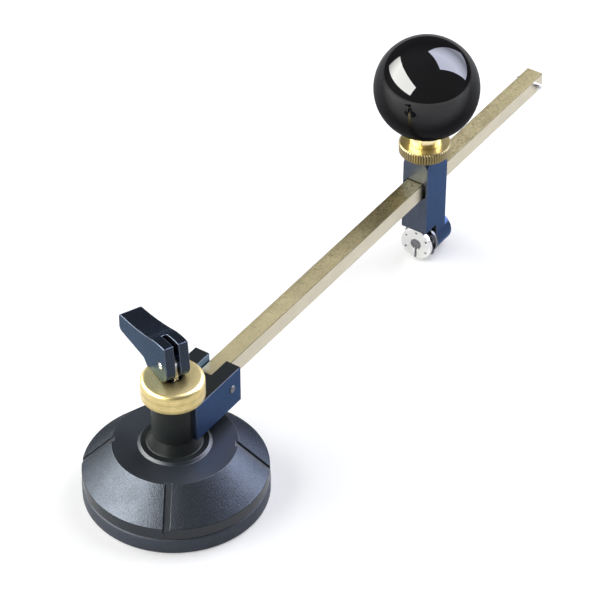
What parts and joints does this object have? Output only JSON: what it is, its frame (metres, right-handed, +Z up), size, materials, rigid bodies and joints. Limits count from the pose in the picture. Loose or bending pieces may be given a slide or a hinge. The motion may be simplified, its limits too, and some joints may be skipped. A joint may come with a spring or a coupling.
{
  "type": "glass circle cutter",
  "caption": "Compass-like glass cutter: suction base with cam lever, swivelling arm bracket, hinged square brass bar, and a sliding holder with ball knob and wheel turret.",
  "frame": {"origin": "centre of the suction pad on the glass", "axes": "+X along the bar from the base to the cutter, +Z up from the glass"},
  "size_m": [0.2792, 0.0664, 0.0986],
  "materials": {
    "rubber": "smooth moulded rubber",
    "textured_housing": "textured blue-grey enamel",
    "blue_black_lacquer": "satin blue-black lacquer",
    "polished_brass": "turned and polished",
    "drawn_brass": "drawn, slightly tarnished",
    "knurled_brass": "knurled",
    "bright_steel": "turned",
    "dark_steel": "blackened",
    "spring_steel": "oiled",
    "turret_steel": "bright nickel",
    "wheel_steel": "ground",
    "bronze": "sintered",
    "ball_resin": "high gloss black"
  },
  "bodies": {
    "base": {"suction_pad": "rubber", "base_housing": "textured_housing", "centre_post": "bright_steel", "thrust_washer": "bright_steel", "brass_cap": "polished_brass", "release_spring": "spring_steel"},
    "rod": {"pull_rod": "bright_steel", "pull_plate": "dark_steel", "rod_nut": "dark_steel"},
    "lever": {"cam_lever": "blue_black_lacquer", "lever_pin": "bright_steel"},
    "arm": {"arm_bracket": "blue_black_lacquer", "sleeve_bush": "bronze", "bar_pin": "dark_steel"},
    "bar": {"square_bar": "drawn_brass", "stop_pin": "bright_steel"},
    "carriage": {"cutter_holder": "blue_black_lacquer", "turret_screw": "dark_steel", "spring_washer": "spring_steel"},
    "clamp": {"clamp_pad": "polished_brass"},
    "knob": {"clamp_stud": "bright_steel", "knurled_ring": "knurled_brass", "knob_ferrule": "polished_brass", "ball_knob": "ball_resin"},
    "turret": {"front_cheek": "turret_steel", "rear_cheek": "turret_steel", "turret_hub": "turret_steel", "wheel_axles": "dark_steel"},
    "wheel_1": {"cutting_wheel_1": "wheel_steel"},
    "wheel_2": {"cutting_wheel_2": "wheel_steel"},
    "wheel_3": {"cutting_wheel_3": "wheel_steel"},
    "wheel_4": {"cutting_wheel_4": "wheel_steel"},
    "wheel_5": {"cutting_wheel_5": "wheel_steel"},
    "wheel_6": {"cutting_wheel_6": "wheel_steel"}
  },
  "joints": [
    {"name": "arm_swivel", "type": "hinge", "parent": "base", "child": "arm", "pos_m": [0, 0, 0.0354], "axis": [0, 0, 1], "continuous": true},
    {"name": "bar_tilt", "type": "hinge", "parent": "arm", "child": "bar", "pos_m": [0.0213, 0, 0.0354], "axis": [0, -1, 0], "range_deg": [0, 30]},
    {"name": "carriage_slide", "type": "slide", "parent": "bar", "child": "carriage", "axis": [1, 0, 0], "range_m": [-0.1, 0.067]},
    {"name": "pad_lift", "type": "slide", "parent": "carriage", "child": "clamp", "axis": [0, 0, 1], "range_m": [0, 0.001]},
    {"name": "knob_turn", "type": "hinge", "parent": "clamp", "child": "knob", "pos_m": [0.16175, 0, 0.06], "axis": [0, 0, 1], "range_deg": [0, 360]},
    {"name": "turret_index", "type": "hinge", "parent": "carriage", "child": "turret", "pos_m": [0.1605, 0, 0.0074], "axis": [1, 0, 0], "continuous": true},
    {"name": "wheel_spin_1", "type": "hinge", "parent": "turret", "child": "wheel_1", "pos_m": [0.1605, 0, 0.0022], "axis": [1, 0, 0], "continuous": true},
    {"name": "wheel_spin_2", "type": "hinge", "parent": "turret", "child": "wheel_2", "pos_m": [0.1605, 0.0045, 0.0048], "axis": [1, 0, 0], "continuous": true},
    {"name": "wheel_spin_3", "type": "hinge", "parent": "turret", "child": "wheel_3", "pos_m": [0.1605, 0.0045, 0.01], "axis": [1, 0, 0], "continuous": true},
    {"name": "wheel_spin_4", "type": "hinge", "parent": "turret", "child": "wheel_4", "pos_m": [0.1605, 0, 0.0126], "axis": [1, 0, 0], "continuous": true},
    {"name": "wheel_spin_5", "type": "hinge", "parent": "turret", "child": "wheel_5", "pos_m": [0.1605, -0.0045, 0.01], "axis": [1, 0, 0], "continuous": true},
    {"name": "wheel_spin_6", "type": "hinge", "parent": "turret", "child": "wheel_6", "pos_m": [0.1605, -0.0045, 0.0048], "axis": [1, 0, 0], "continuous": true},
    {"name": "rod_drop", "type": "slide", "parent": "base", "child": "rod", "axis": [0, 0, -1], "range_m": [0, 0.0022], "deforming": ["release_spring", "suction_pad"]},
    {"name": "lever_turn", "type": "hinge", "parent": "rod", "child": "lever", "pos_m": [0, 0, 0.05853], "axis": [0.9135, -0.4067, 0], "range_deg": [0, 90]}
  ],
  "couplings": [
    {"joint": "knob_turn", "follows": "pad_lift", "rad_per_m": 6283.2},
    {"joint": "lever_turn", "follows": "rod_drop", "rad_per_m": 713.99}
  ]
}
